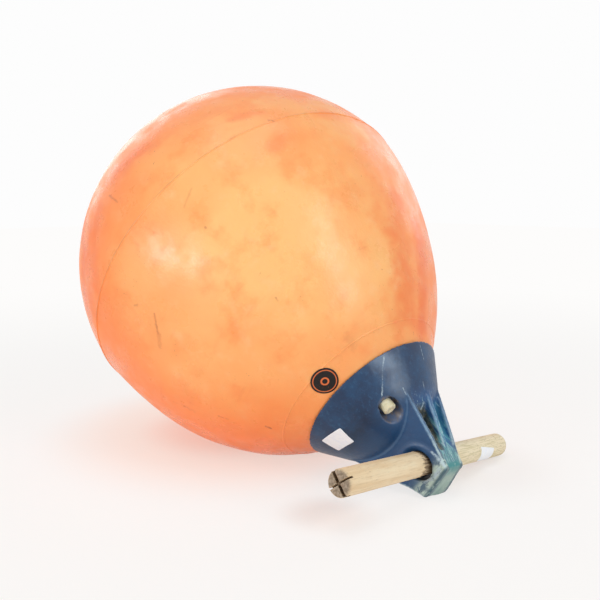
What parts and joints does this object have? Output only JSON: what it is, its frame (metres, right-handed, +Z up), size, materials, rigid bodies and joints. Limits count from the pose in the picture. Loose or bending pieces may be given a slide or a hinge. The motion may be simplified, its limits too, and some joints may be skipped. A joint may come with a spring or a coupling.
{
  "type": "inflatable marker buoy",
  "caption": "Inflated teardrop marker buoy lying on its side: hollow moulded float, ribbed head with a rope eye and a valve, and a round wooden dowel that turns in the eye.",
  "frame": {"origin": "bottom centre of the overall box, on the floor that the buoy lies on", "axes": "+Z up, +X along the floor from the ball towards the head, +Y across it"},
  "size_m": [0.5098, 0.4316, 0.4323],
  "materials": {
    "float_vinyl": "satin, faded",
    "head_vinyl": "satin, chalked",
    "plug_nylon": "satin",
    "dowel_wood": "bare"
  },
  "bodies": {
    "buoy": {"float_body": "float_vinyl", "rope_head": "head_vinyl", "valve_plug": "plug_nylon"},
    "dowel": {"dowel": "dowel_wood"}
  },
  "joints": [
    {"name": "dowel_turn", "type": "hinge", "parent": "buoy", "child": "dowel", "pos_m": [0.22196, 0, 0.03231], "axis": [-0.0899, 0.9878, -0.1272], "continuous": true}
  ]
}
